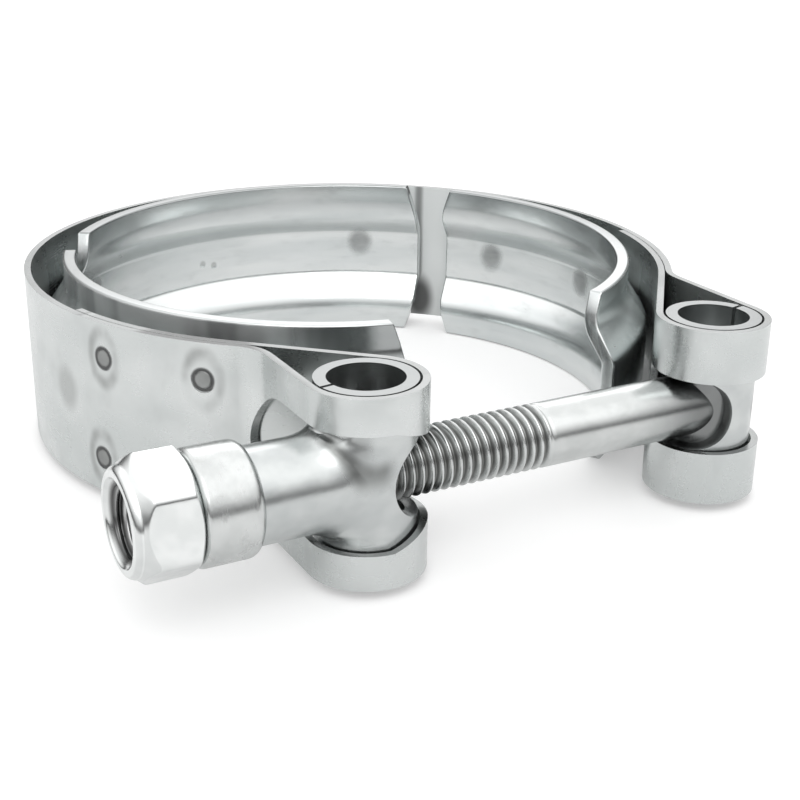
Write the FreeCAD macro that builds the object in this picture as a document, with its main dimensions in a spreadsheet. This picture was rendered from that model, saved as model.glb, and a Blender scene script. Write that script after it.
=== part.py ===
"""V band clamp, lying flat with its ring axis upright and its T-bolt slack.

Frame: X along the bolt from the nut towards its head, Y away from the bolt side, Z up.
Origin: centre of the rear and right retainers, at the middle of the band's width.
Lengths in millimetres, angles in degrees, azimuths counted from +X towards +Y.
"""
import FreeCAD, Part
import math
import os
import Sketcher

SIZES = {
    # Retainer channels
    "lip_radius": 40.5,
    "retainer_sheet": 1.8,
    "channel_depth": 3.2,
    "retainer_half_height": 12.7,
    "lip_height": 4.3,
    "web_half_height": 3.9,
    "retainer_bend": 3.0,
    "lip_trim": 1.6,
    "low_end_trim": 5.4,
    "rear_first_azimuth": 46.3,
    "rear_arc_angle": 100.6,
    "right_first_azimuth": -63.8,
    "right_arc_angle": 103.1,
    "left_first_azimuth": 156.0,
    "left_arc_angle": 104.0,
    "left_inset": 0.3,
    "left_centre_x": -3.1,
    "left_centre_y": 1.35,
    # Band strip
    "strip_thickness": 0.9,
    "strip_width": 23.2,
    "weld_gap": 0.25,
    "layer_gap": 0.1,
    "right_step": 1.2,
    "right_step_azimuth": 75.0,
    "left_step": 3.4,
    "left_step_azimuth": 135.0,
    "leg_bend": 6.0,
    "left_return_azimuth": -165.0,
    "right_return_azimuth": -8.0,
    "left_slot": 14.4,
    "left_slot_narrow": 10.8,
    "left_slot_taper": 6.0,
    "left_slot_end": -32.5,
    "right_slot": 9.4,
    "right_slot_end": -38.0,
    "return_slot_run": 3.5,
    "return_slot_corner": 2.5,
    # Trunnions
    "tube_diameter": 12.0,
    "tube_wall": 1.5,
    "loop_clearance": 0.3,
    "left_tube_x": -21.1,
    "right_tube_x": 28.5,
    "tube_y": -47.0,
    "barrel_step": 0.35,
    "barrel_reach": 14.7,
    "barrel_fillet": 1.8,
    "side_hole_clearance": 0.75,
    "side_hole_inset": 0.6,
    "seam_width": 0.5,
    "left_seam_azimuth": 188.0,
    "right_seam_azimuth": 14.0,
    # T-bolt, sleeve and nut
    "bolt_diameter": 8.0,
    "bolt_clearance": 0.3,
    "thread_clearance": 0.05,
    "thread_chamfer": 0.8,
    "bolt_overhang": 4.4,
    "head_clearance": 0.05,
    "head_length": 15.0,
    "head_chamfer": 0.6,
    "sleeve_diameter": 13.3,
    "sleeve_length": 6.8,
    "sleeve_round": 1.3,
    "sleeve_chamfer": 0.5,
    "nut_across_flats": 13.0,
    "nut_hex_length": 5.3,
    "nut_bearing_diameter": 12.8,
    "nut_bearing_chamfer": 0.9,
    "nut_collar_diameter": 12.8,
    "nut_collar_length": 2.4,
    "nut_collar_round": 1.2,
    "nut_mouth": 9.8,
    "nut_turn_angle": 21.6,
}

CELLS = {name: "Sizes." + name for name in SIZES}
X_AXIS = FreeCAD.Vector(1, 0, 0)
Y_AXIS = FreeCAD.Vector(0, 1, 0)
Z_AXIS = FreeCAD.Vector(0, 0, 1)
LEFT_HAND = 1
RIGHT_HAND = -1
TOUCH = 1e-6

doc = FreeCAD.newDocument("v_band_clamp")
sheet = doc.addObject("Spreadsheet::Sheet", "Sizes")
for row, (alias, value) in enumerate(SIZES.items(), start=1):
    sheet.set("A%d" % row, alias)
    sheet.set("B%d" % row, str(value))
    sheet.setAlias("B%d" % row, alias)
doc.recompute()


def size(name):
    """Value of a cell of the sheet."""
    return float(sheet.get(name))


def bind(item, prop, formula):
    """Ties a property to a formula in which each size name stands in braces."""
    item.setExpression(prop, formula.format_map(CELLS))


def new_body(name):
    body = doc.addObject("PartDesign::Body", name)
    body.Label = name
    return body


def new_sketch(body, role, offset=None, turn=0.0):
    """Sketch on an origin plane, moved along the plane's normal and turned about the plane's own Y."""
    plane = next(item for item in body.Origin.OriginFeatures if item.Role == role)
    sketch = body.newObject("Sketcher::SketchObject", body.Name + "_sketch")
    sketch.AttachmentSupport = [(plane, "")]
    sketch.MapMode = "FlatFace"
    sketch.AttachmentOffset = FreeCAD.Placement(FreeCAD.Vector(), FreeCAD.Rotation(Y_AXIS, turn))
    if offset:
        bind(sketch, "AttachmentOffset.Base.z", offset)
    return sketch


def add_circle(sketch, diameter, along=None):
    """Circle of a bound diameter, on the sketch origin or at a bound distance along its X."""
    index = sketch.addGeometry(Part.Circle(FreeCAD.Vector(), Z_AXIS, 1.0))
    constraint = sketch.addConstraint(Sketcher.Constraint("Diameter", index, 2.0))
    bind(sketch, "Constraints[%d]" % constraint, diameter)
    sketch.addConstraint(Sketcher.Constraint("DistanceY", -1, 1, index, 3, 0.0))
    constraint = sketch.addConstraint(Sketcher.Constraint("DistanceX", -1, 1, index, 3, 0.0))
    bind(sketch, "Constraints[%d]" % constraint, along or "0 mm")


def add_lines(sketch, corners):
    """Open chain of straight edges."""
    for here, after in zip(corners, corners[1:]):
        sketch.addGeometry(Part.LineSegment(FreeCAD.Vector(*here, 0), FreeCAD.Vector(*after, 0)))


def add_polygon(sketch, corners):
    """Closed outline of straight edges."""
    add_lines(sketch, corners + corners[:1])


def add_arc(sketch, centre, radius, first, last):
    """Arc between two azimuths, whichever comes first."""
    low, high = sorted((math.radians(first), math.radians(last)))
    sketch.addGeometry(Part.ArcOfCircle(Part.Circle(FreeCAD.Vector(*centre, 0), Z_AXIS, radius), low, high))


def polar(centre, radius, azimuth):
    angle = math.radians(azimuth)
    return (centre[0] + radius * math.cos(angle), centre[1] + radius * math.sin(angle))


def azimuth_of(start, end):
    return math.degrees(math.atan2(end[1] - start[1], end[0] - start[0]))


def add_strip(sketch, path, thickness):
    """Closed outline of a bent strip.

    The path is the strip's middle line: a list of (centre, radius, first azimuth, last azimuth,
    hand), left hand where it turns anticlockwise, joined by straight runs. An element of no radius
    is an end point, whose azimuth is square to the run.
    """
    ends = []
    for side in (LEFT_HAND, RIGHT_HAND):
        previous = None
        corners = []
        for centre, radius, first, last, hand in path:
            offset_radius = radius - side * hand * thickness / 2
            start = polar(centre, offset_radius, first)
            finish = polar(centre, offset_radius, last)
            if previous and math.dist(previous, start) > TOUCH:
                add_lines(sketch, [previous, start])
            if first != last:
                add_arc(sketch, centre, offset_radius, first, last)
            corners += [start, finish]
            previous = finish
        ends.append((corners[0], corners[-1]))
    (left_start, left_end), (right_start, right_end) = ends
    add_lines(sketch, [left_start, right_start])
    add_lines(sketch, [left_end, right_end])


def bent_path(corners, bend):
    """Middle line through the corners, with an arc of the bend radius at each inner one."""
    headings = [azimuth_of(here, after) for here, after in zip(corners, corners[1:])]
    path = [(corners[0], 0.0, headings[0] - 90, headings[0] - 90, LEFT_HAND)]
    for corner, before, after in zip(corners[1:-1], headings, headings[1:]):
        turn = (after - before + 180) % 360 - 180
        hand = LEFT_HAND if turn > 0 else RIGHT_HAND
        reach = bend / math.cos(math.radians(turn / 2))
        centre = polar(corner, reach, before + turn / 2 + 90 * hand)
        path.append((centre, bend, before - 90 * hand, before - 90 * hand + turn, hand))
    path.append((corners[-1], 0.0, headings[-1] - 90, headings[-1] - 90, LEFT_HAND))
    return path


def pad(body, sketch, length):
    """Pad to both sides of the sketch plane."""
    feature = body.newObject("PartDesign::Pad", body.Name + "_pad")
    feature.Profile = sketch
    feature.SideType = "Symmetric"
    bind(feature, "Length", length)
    return feature


def cut(body, sketch, length=None, forward=None):
    """Pocket by a length or through all, to both sides of the sketch plane or to one."""
    feature = body.newObject("PartDesign::Pocket", body.Name + "_pocket")
    feature.Profile = sketch
    if forward is None:
        feature.SideType = "Symmetric"
    else:
        feature.Reversed = forward
    if length:
        bind(feature, "Length", length)
    else:
        feature.Type = "ThroughAll"


def revolve(body, sketch, axis_role, angle="360 deg", kind="Revolution"):
    feature = body.newObject("PartDesign::" + kind, body.Name + "_" + kind.lower())
    feature.Profile = sketch
    axis = next(item for item in body.Origin.OriginFeatures if item.Role == axis_role)
    feature.ReferenceAxis = (axis, [""])
    bind(feature, "Angle", angle)
    return feature


def place(body, position, turn=None, axis=Z_AXIS):
    """Placement with a bound position and a fixed turn about an axis."""
    body.Placement = FreeCAD.Placement(FreeCAD.Vector(), FreeCAD.Rotation(axis, turn or 0.0))
    for coordinate, formula in zip("xyz", position):
        bind(body, "Placement.Base." + coordinate, formula)


def make_retainer(name, lip_radius, centre, low_first_trim="lip_trim"):
    """V channel bent round the ring axis, its lips cut back at both ends."""
    body = new_body(name + "_retainer")
    sheet_thickness = size("retainer_sheet")
    lip = lip_radius - sheet_thickness / 2
    web = lip + size("channel_depth")
    top = size("retainer_half_height")
    root = top - size("lip_height")
    corners = [(lip, top), (lip, root), (web, size("web_half_height"))]
    corners += [(radius, -height) for radius, height in reversed(corners)]
    profile = new_sketch(body, "XZ_Plane")
    add_strip(profile, bent_path(corners, size("retainer_bend")), sheet_thickness)
    revolve(body, profile, "Z_Axis", "{%s_arc_angle}" % name)

    margin = sheet_thickness
    ends = (
        (0.0, LEFT_HAND, size("lip_trim"), size(low_first_trim)),
        (size(name + "_arc_angle"), RIGHT_HAND, size("lip_trim"), size("lip_trim")),
    )
    for turn, hand, high_trim, low_trim in ends:
        trim = new_sketch(body, "YZ_Plane", turn=turn)
        for up, reach in ((1, hand * high_trim), (-1, hand * low_trim)):
            slope = reach / size("lip_height")
            add_polygon(trim, [
                (-hand * margin, up * root),
                (0.0, up * root),
                (reach + slope * margin, up * (top + margin)),
                (-hand * margin, up * (top + margin)),
            ])
        cut(body, trim, forward=True)
    place(body, centre, size(name + "_first_azimuth"))
    return body


def return_run(centre, radius, tube, loop, side):
    """Straight run between the loop and the return layer, as azimuths on the layer and on the loop."""
    spread = math.degrees(math.acos((radius + loop) / math.dist(centre, tube)))
    azimuth = azimuth_of(centre, tube) + side * spread
    return azimuth, azimuth + 180


def leg_corner(centre, radius, line_x, side):
    """Centre of the bend between a ring circle and the straight leg down to the loop."""
    bend = size("leg_bend")
    x = line_x + side * bend
    y = centre[1] - math.sqrt((radius + bend) ** 2 - (x - centre[0]) ** 2)
    return (x, y)


def make_band():
    """One strip: round the retainers, round both trunnions and back along its own inside."""
    half_strip = size("strip_thickness") / 2
    loop = size("tube_diameter") / 2 + size("loop_clearance") + half_strip
    rear = size("lip_radius") + size("channel_depth") + size("weld_gap") + half_strip
    layer = size("strip_thickness") + size("layer_gap")
    right_centre = polar((0.0, 0.0), -size("right_step"), size("right_step_azimuth"))
    right_radius = rear + size("right_step")
    left_centre = polar(right_centre, size("left_step"), size("left_step_azimuth"))
    left_radius = right_radius - size("left_step")
    left_tube = (size("left_tube_x"), size("tube_y"))
    right_tube = (size("right_tube_x"), size("tube_y"))
    left_return, left_touch = return_run(left_centre, left_radius - layer, left_tube, loop, -1)
    right_return, right_touch = return_run(right_centre, right_radius - layer, right_tube, loop, 1)
    left_bend = leg_corner(left_centre, left_radius, left_tube[0] - loop, -1)
    right_bend = leg_corner(right_centre, right_radius, right_tube[0] + loop, 1)
    left_leave = azimuth_of(left_centre, left_bend)
    right_leave = azimuth_of(right_centre, right_bend)
    bend = size("leg_bend")
    left_step = size("left_step_azimuth")

    body = new_body("band")
    main = new_sketch(body, "XY_Plane")
    add_strip(main, [
        (left_tube, loop, left_touch, -180.0, RIGHT_HAND),
        (left_bend, bend, 0.0, left_leave + 180, LEFT_HAND),
        (left_centre, left_radius, left_leave + 360, left_step, RIGHT_HAND),
        (right_centre, right_radius, left_step, right_leave, RIGHT_HAND),
        (right_bend, bend, right_leave + 180, 180.0, LEFT_HAND),
        (right_tube, loop, 0.0, right_touch - 360, RIGHT_HAND),
    ], size("strip_thickness"))
    pad(body, main, "{strip_width}")

    far = size("tube_diameter")
    slots = (
        ("left_slot", left_tube, "left_slot_end", "{left_tube_x}", False),
        ("right_slot", right_tube, "right_slot_end", "{right_tube_x} - {tube_diameter}", True),
    )
    for width, tube, end, offset, forward in slots:
        half = size(width) / 2
        slot = new_sketch(body, "YZ_Plane", offset)
        front = tube[1] - far
        straight = size(end) - half
        add_arc(slot, (straight, 0.0), half, -90.0, 90.0)
        add_lines(slot, [(straight, half), (front, half), (front, -half), (straight, -half)])
        cut(body, slot, forward=forward)
    wide = size("left_slot") / 2
    half = size("left_slot_narrow") / 2
    taper = new_sketch(body, "XZ_Plane", "-{tube_y}")
    middle = left_tube[0]
    taper_end = middle + size("left_slot_taper")
    side = middle + far
    add_polygon(taper, [(middle, wide), (taper_end, half), (side, half),
                        (side, -half), (taper_end, -half), (middle, -wide)])
    cut(body, taper, "{tube_diameter}", forward=True)
    narrow = new_sketch(body, "YZ_Plane", "{left_tube_x}")
    back = left_tube[1] + far
    add_polygon(narrow, [(left_tube[1], half), (back, half), (back, -half), (left_tube[1], -half)])
    cut(body, narrow, "{tube_diameter}", forward=True)

    runs = (
        (left_centre, left_radius - layer, size("left_return_azimuth"), left_return,
         left_tube, left_touch, RIGHT_HAND, "left_slot_narrow"),
        (right_centre, right_radius - layer, size("right_return_azimuth"), right_return,
         right_tube, right_touch, LEFT_HAND, "right_slot"),
    )
    for centre, radius, last, first, tube, touch, hand, width in runs:
        layer_sketch = new_sketch(body, "XY_Plane")
        add_strip(layer_sketch, [
            (polar(tube, loop, touch), 0.0, first, first, hand),
            (centre, radius, first, last, hand),
        ], size("strip_thickness"))
        pad(body, layer_sketch, "{strip_width}")

    for centre, radius, last, first, tube, touch, hand, width in runs:
        start = polar(tube, loop, touch)
        heading = azimuth_of(start, polar(centre, radius, first))
        half = size(width) / 2
        corner = size("return_slot_corner")
        reach = size("return_slot_run")
        slot = new_sketch(body, "XZ_Plane", turn=heading)
        shift = FreeCAD.Vector(start[0], 0, -start[1])
        slot.AttachmentOffset = FreeCAD.Placement(shift, FreeCAD.Rotation(Y_AXIS, heading))
        add_arc(slot, (reach - corner, half - corner), corner, 0.0, 90.0)
        add_arc(slot, (reach - corner, corner - half), corner, -90.0, 0.0)
        add_lines(slot, [(reach, half - corner), (reach, corner - half)])
        add_lines(slot, [(reach - corner, half), (-corner, half), (-corner, -half),
                                (reach - corner, -half)])
        cut(body, slot, "{strip_thickness} * 2")
    return body


def make_tube(name, tube_x):
    """Solid of the tube's outside, as tall as the band is wide."""
    body = new_body(name)
    outer = new_sketch(body, "XY_Plane")
    add_circle(outer, "{tube_diameter}")
    pad(body, outer, "{strip_width}")
    place(body, (tube_x, "{tube_y}", "0 mm"))
    return body


def hollow_tube(body, side):
    """Bore of the tube and the cross hole that opens it for the bolt, on the side of the sign given."""
    bore = new_sketch(body, "XY_Plane")
    add_circle(bore, "{tube_diameter} - 2 * {tube_wall}")
    cut(body, bore)
    hole = new_sketch(body, "XZ_Plane")
    add_circle(hole, "{bolt_diameter} + 2 * {side_hole_clearance}",
               side + "({tube_diameter} / 2 - {side_hole_inset})")
    cut(body, hole)


def cut_seam(body, azimuth, depth=None):
    """Open seam of the rolled sheet, through all or from each end by a depth."""
    half = size("seam_width") / 2
    inner = (polar((0.0, 0.0), half, azimuth + 90), polar((0.0, 0.0), half, azimuth - 90))
    outer = [polar(corner, size("tube_diameter"), azimuth) for corner in inner]
    ends = (("{strip_width} / 2", False), ("-{strip_width} / 2", True))
    for offset, forward in ends if depth else ends[:1]:
        seam = new_sketch(body, "XY_Plane", offset)
        add_polygon(seam, [inner[0], inner[1], outer[1], outer[0]])
        cut(body, seam, depth, forward)


def make_left_trunnion():
    """Rolled tube with the barrel that leads the bolt to the sleeve and nut."""
    body = make_tube("left_trunnion", "{left_tube_x}")
    barrel = new_sketch(body, "YZ_Plane")
    add_circle(barrel, "{tube_diameter} - 2 * {barrel_step}")
    pipe = body.newObject("PartDesign::Pad", "barrel_pad")
    pipe.Profile = barrel
    pipe.Reversed = True
    bind(pipe, "Length", "{barrel_reach}")
    doc.recompute()
    joint = [
        "Edge%d" % number
        for number, edge in enumerate(pipe.Shape.Edges, start=1)
        if edge.Curve.TypeId not in ("Part::GeomCircle", "Part::GeomLine")
    ]
    fillet = body.newObject("PartDesign::Fillet", "joint_fillet")
    fillet.Base = (pipe, joint)
    bind(fillet, "Radius", "{barrel_fillet}")
    doc.recompute()
    hollow_tube(body, "+")
    cut_seam(body, size("left_seam_azimuth"),
             "({strip_width} - {tube_diameter}) / 2 + {barrel_step} - {barrel_fillet}")
    passage = new_sketch(body, "YZ_Plane")
    add_circle(passage, "{bolt_diameter} + 2 * {bolt_clearance}")
    cut(body, passage, forward=False)
    return body


def make_right_trunnion():
    """Rolled tube whose cross hole lets the bolt out towards the left."""
    body = make_tube("right_trunnion", "{right_tube_x}")
    hollow_tube(body, "-")
    cut_seam(body, size("right_seam_azimuth"))
    return body


def make_t_bolt():
    """Shank from the head's axis to the chamfered thread end, and the upright head."""
    body = new_body("t_bolt")
    radius = size("bolt_diameter") / 2
    chamfer = size("thread_chamfer")
    end = size("left_tube_x") - size("barrel_reach") - size("sleeve_length") - size("bolt_overhang")
    end -= size("right_tube_x")
    shank = new_sketch(body, "XZ_Plane")
    add_polygon(shank, [
        (0.0, 0.0), (0.0, radius), (end + chamfer, radius), (end, radius - chamfer), (end, 0.0),
    ])
    revolve(body, shank, "X_Axis")
    head = new_sketch(body, "XZ_Plane")
    wide = size("tube_diameter") / 2 - size("tube_wall") - size("head_clearance")
    top = size("head_length") / 2
    chamfer = size("head_chamfer")
    add_polygon(head, [
        (0.0, top), (wide - chamfer, top), (wide, top - chamfer),
        (wide, chamfer - top), (wide - chamfer, -top), (0.0, -top),
    ])
    revolve(body, head, "Z_Axis")
    place(body, ("{right_tube_x}", "{tube_y}", "0 mm"))
    return body


def make_sleeve():
    """Spacer between barrel and nut, with a rounded rim at the barrel."""
    body = new_body("sleeve")
    outer = size("sleeve_diameter") / 2
    bore = size("bolt_diameter") / 2 + size("bolt_clearance")
    length = size("sleeve_length")
    rounding = size("sleeve_round")
    profile = new_sketch(body, "XZ_Plane")
    chamfer = size("sleeve_chamfer")
    add_lines(profile, [(0.0, outer - rounding), (0.0, bore), (-length, bore), (-length, outer - chamfer),
                        (chamfer - length, outer), (-rounding, outer)])
    add_arc(profile, (-rounding, outer - rounding), rounding, 0.0, 90.0)
    revolve(body, profile, "X_Axis")
    place(body, ("{left_tube_x} - {barrel_reach}", "{tube_y}", "0 mm"))
    return body


def make_nut():
    """Hexagon that runs into a round collar, bored to fit the thread."""
    body = new_body("nut")
    flats = size("nut_across_flats")
    corner = flats / math.sqrt(3)
    hexagon = new_sketch(body, "YZ_Plane")
    add_polygon(hexagon, [polar((0.0, 0.0), corner, 60 * index) for index in range(6)])
    block = body.newObject("PartDesign::Pad", "hexagon_pad")
    block.Profile = hexagon
    block.Reversed = True
    bind(block, "Length", "{nut_hex_length} + {nut_collar_length}")
    collar = size("nut_collar_diameter") / 2
    bearing = size("nut_bearing_diameter") / 2
    shoulder = -size("nut_hex_length")
    front = shoulder - size("nut_collar_length")
    rounding = size("nut_collar_round")
    slope = corner - collar
    clear = corner + rounding
    outside = new_sketch(body, "XZ_Plane")
    add_arc(outside, (front + rounding, collar - rounding), rounding, 90.0, 180.0)
    add_lines(outside, [(front + rounding, collar), (shoulder - slope, collar), (shoulder, corner),
                        (shoulder, clear), (front - rounding, clear), (front - rounding, collar - rounding),
                        (front, collar - rounding)])
    add_polygon(outside, [(-size("nut_bearing_chamfer"), corner), (0.0, bearing), (rounding, bearing),
                          (rounding, clear), (-size("nut_bearing_chamfer"), clear)])
    revolve(body, outside, "X_Axis", kind="Groove")
    bore = new_sketch(body, "YZ_Plane")
    add_circle(bore, "{bolt_diameter} + 2 * {thread_clearance}")
    cut(body, bore, forward=False)
    hole = size("bolt_diameter") / 2
    mouth = size("nut_mouth") / 2
    countersink = new_sketch(body, "XZ_Plane")
    add_polygon(countersink, [(front, 0.0), (front, mouth), (front + mouth - hole, hole),
                              (front + mouth - hole, 0.0)])
    revolve(body, countersink, "X_Axis", kind="Groove")
    place(body, ("{left_tube_x} - {barrel_reach} - {sleeve_length}", "{tube_y}", "0 mm"),
          size("nut_turn_angle"), X_AXIS)
    return body


centred = ("0 mm", "0 mm", "0 mm")
left_lip_radius = size("lip_radius") + size("right_step") - size("left_step")
left_lip_radius -= size("strip_thickness") + size("layer_gap") + size("left_inset")
bodies = [
    make_band(),
    make_retainer("rear", size("lip_radius"), centred),
    make_retainer("right", size("lip_radius"), centred, "low_end_trim"),
    make_retainer("left", left_lip_radius, ("{left_centre_x}", "{left_centre_y}", "0 mm")),
    make_left_trunnion(),
    make_right_trunnion(),
    make_t_bolt(),
    make_sleeve(),
    make_nut(),
]
doc.recompute()

for item in doc.Objects:
    if "Invalid" in item.State or "Error" in item.State:
        raise RuntimeError("not built: " + item.Name + " " + str(item.State))
for body in bodies:
    if body.Shape.isNull() or not body.Shape.isValid() or len(body.Shape.Solids) != 1:
        raise RuntimeError("not one sound solid: " + body.Label)

os.makedirs("parts", exist_ok=True)
for body in bodies:
    body.Shape.exportStep("parts/" + body.Label + ".step")
    print(body.Label, round(body.Shape.Volume, 1), body.Shape.BoundBox)
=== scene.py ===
"""V band clamp on a pale studio floor: dressed pieces, steel finishes, light and camera."""

import math

import bmesh
import bpy
import numpy as np
from mathutils import Matrix


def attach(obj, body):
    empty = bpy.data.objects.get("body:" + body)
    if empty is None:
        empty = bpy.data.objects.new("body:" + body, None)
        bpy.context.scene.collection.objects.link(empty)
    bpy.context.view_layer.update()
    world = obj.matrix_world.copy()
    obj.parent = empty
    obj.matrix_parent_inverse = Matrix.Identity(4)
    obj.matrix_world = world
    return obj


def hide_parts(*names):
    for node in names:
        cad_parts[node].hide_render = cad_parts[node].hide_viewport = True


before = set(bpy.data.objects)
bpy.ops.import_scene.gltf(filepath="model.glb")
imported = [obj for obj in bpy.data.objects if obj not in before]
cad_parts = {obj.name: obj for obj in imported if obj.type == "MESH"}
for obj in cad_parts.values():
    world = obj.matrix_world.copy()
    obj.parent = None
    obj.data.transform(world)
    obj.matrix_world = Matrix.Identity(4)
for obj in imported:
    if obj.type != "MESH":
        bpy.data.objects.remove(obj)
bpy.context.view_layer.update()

# Sizes of the pieces are in millimetres, the scene is in metres.
MM = 0.001
METRE = 1000.0
TURN = 2 * math.pi

# The axis of bolt, sleeve and nut lies along X, and both tubes stand upright across it.
AXIS_Y = -47.0
LEFT_TUBE_X = -21.1
RIGHT_TUBE_X = 28.5
TUBE_RADIUS = 6.0
BARREL_RADIUS = 5.65

# Bolt: its thread ends at THREAD_STOP and fades over the length before it.
BOLT_END = -47.0
BOLT_RADIUS = 4.0
BOLT_PLAY = 0.02
BOLT_CHAMFER = 0.8
PIN_RADIUS = 4.45
PIN_HALF = 7.5
PITCH = 1.25
THREAD_DEPTH = 0.74
THREAD_STOP = 2.6
THREAD_FADE = 1.6
CREST_SHARE = 0.10
ROOT_SHARE = 0.84

# Nut, seen from its front: nose, chamfer from the shoulder to the neck, hexagon, back.
NUT_FRONT = -50.3
NUT_SHOULDER = -49.3
NUT_NECK = -47.8
NUT_BACK = -42.6
NUT_APOTHEM = 6.5
NUT_TURN = math.radians(21.6)
NUT_SOFTNESS = 0.07
CORNER_CUT = 0.16
TURNED_RADIUS = 7.5
BACK_RADIUS = 5.9
NOSE_RADIUS = 5.25
NOSE_LENGTH = 1.0
NOSE_ROUND = 0.95
MOUTH_RADIUS = 4.02
BORE_LIMIT = 4.06
NUT_THREAD_GAP = 0.07
NUT_THREAD_SHARE = 0.92

SLEEVE_FRONT = NUT_BACK
SLEEVE_BACK = -35.8
SLEEVE_RADIUS = 6.65
SLEEVE_BORE = 4.3

# Retainer channels: centre, first azimuth, arc angle, lip radius, trim of the low lip's first end.
RETAINERS = {
    "rear_retainer": ((0.0, 0.0), 46.3, 100.6, 40.5, 1.6),
    "right_retainer": ((0.0, 0.0), -63.8, 103.1, 40.5, 5.4),
    "left_retainer": ((-3.1, 1.35), 156.0, 104.0, 37.0, 1.6),
}
SHEET = 1.8
CHANNEL_DEPTH = 3.2
HALF_HEIGHT = 12.7
LIP_HEIGHT = 4.3
WEB_HALF = 3.9
ROOT_BEND = 5.0
WEB_BEND = 2.2
TRIM_START = 6.5
TRIM_POWER = 1.6
LIP_TRIM = 1.6
EDGE_ROUND = 0.35
END_ROUND = 0.25

# Angles between faces from which an edge stays sharp, on new pieces and on rounded copies.
SHARP_ANGLE = math.radians(50)
ROUNDED_ANGLE = math.radians(35)
FLAT_ANGLE = math.radians(0.4)
MERGE_DISTANCE = 2e-6

# Spot welds of the strap: rings pressed where two of its layers meet, soft ovals over the webs.
WELD_RADIUS = 1.3
RING_WELDS = [
    (-41.7, -16.0, 7.0), (-33.4, -28.4, 6.9), (-42.2, -14.8, -6.8), (-33.4, -28.4, -6.9),
    (43.7, -14.6, 6.9), (36.5, -28.9, 6.9), (43.7, -14.6, -6.9), (36.5, -28.9, -6.9),
]
OVAL_WELDS = [
    (-33.5, 30.6, 0.5), (-6.6, 44.4, 0.5), (22.4, 38.9, 0.5), (40.5, 20.1, 0.5), (45.7, -1.4, 0.5),
]
# A shallow dent and a faint upright crease on the strap's left, the crease given by its arc.
PRESS_MARKS = [(-44.5, -8.0, 0.8)]
CREASE_ARC = 145.5
# The strap seen between rear and right retainer: painted light as a pale patch, painted shadow as a
# dark line beside it and in a dark corner.
SEAM_LIGHT_PATCH = (31.8, 29.6, 0.0)
SEAM_SHADOW_LINE = (29.9, 32.1, 0.0)
SEAM_SHADOW_CORNERS = [(30.2, 31.8, -8.5)]
# Weld marks inside the retainers' webs, and two small dots on the rear one.
WEB_SPOTS = [
    (20.6, 36.5, 2.0), (37.2, 19.3, 1.5), (41.9, -0.2, 1.7), (-38.9, -7.6, 0.9), (-28.9, 30.3, 1.2),
]
WEB_DOTS = [(-7.0, 41.3, 0.0), (-4.9, 41.6, -0.5)]
# A heat mark above the root of the barrel.
HEAT_MARKS = [(-24.7, -51.9, 5.0)]

# Stretches of a distance: round, and across the upright axis only.
EVEN = (1.0, 1.0, 1.0)
ACROSS = (1.0, 1.0, 0.0)
RING_RADIUS = 42.0
CLOUDY = (0.35, 0.7)


# ---------------------------------------------------------------- surfaces

def add_object(name, data):
    """New object of the scene."""
    thing = bpy.data.objects.new(name, data)
    bpy.context.scene.collection.objects.link(thing)
    return thing


def rework(mesh, edit=None):
    """Runs an edit on a mesh and turns all its faces outwards."""
    work = bmesh.new()
    work.from_mesh(mesh)
    if edit:
        edit(work)
    bmesh.ops.recalc_face_normals(work, faces=work.faces)
    work.to_mesh(mesh)
    work.free()


def surface(name, points, close_rows=False, caps=()):
    """Mesh from a grid of points in millimetres, rows by columns by three.

    Neighbouring grid points make quads, and the last column joins the first. The rows may close
    in the same way, and a cap joins an end row to one point at its middle.
    """
    rows, columns, _ = points.shape
    index = np.arange(rows * columns).reshape(rows, columns)
    down = np.roll(index, -1, axis=0)
    right = np.roll(index, -1, axis=1)
    corner = np.roll(down, -1, axis=1)
    quads = np.stack([index, right, corner, down], axis=2)
    if not close_rows:
        quads = quads[:-1]
    faces = quads.reshape(-1, 4).tolist()
    vertices = points.reshape(-1, 3)
    for row in caps:
        hub = np.full(columns, len(vertices))
        vertices = np.vstack([vertices, points[row].mean(axis=0)])
        rim = index[row]
        after = np.roll(rim, -1)
        pair = (after, rim) if row == 0 else (rim, after)
        faces += np.stack([*pair, hub], axis=1).tolist()
    mesh = bpy.data.meshes.new(name)
    mesh.from_pydata((vertices * MM).tolist(), [], faces)
    mesh.update()
    rework(mesh)
    piece = add_object(name, mesh)
    mesh.shade_smooth()
    mesh.set_sharp_from_angle(angle=SHARP_ANGLE)
    return piece


def grid(x, y, z):
    """Points from their coordinates, each spread over the rows and columns of the others."""
    return np.stack(np.broadcast_arrays(x, y, z), axis=2)


def full_turn(count):
    """Angles in equal steps round a turn, the last one a step before the first."""
    return np.arange(count) * TURN / count


def around_axis(x, radius, angle):
    """Points at a radius and angle about the bolt's axis, the angle counted from Y towards Z."""
    return grid(x, AXIS_Y + radius * np.cos(angle), radius * np.sin(angle))


def turned(profile, angle):
    """A profile of (x, radius) turned about the bolt's axis."""
    return around_axis(profile[:, 0, None], profile[:, 1, None], angle)


def smooth_step(low, high, value):
    """Rises from 0 at low to 1 at high as 3t^2 - 2t^3."""
    t = np.clip((value - low) / (high - low), 0.0, 1.0)
    return t * t * (3 - 2 * t)


def soft_least(a, b):
    """Soft minimum: -k * log(exp(-a / k) + exp(-b / k))."""
    k = NUT_SOFTNESS
    return -k * np.log(np.exp(-a / k) + np.exp(-b / k))


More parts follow.
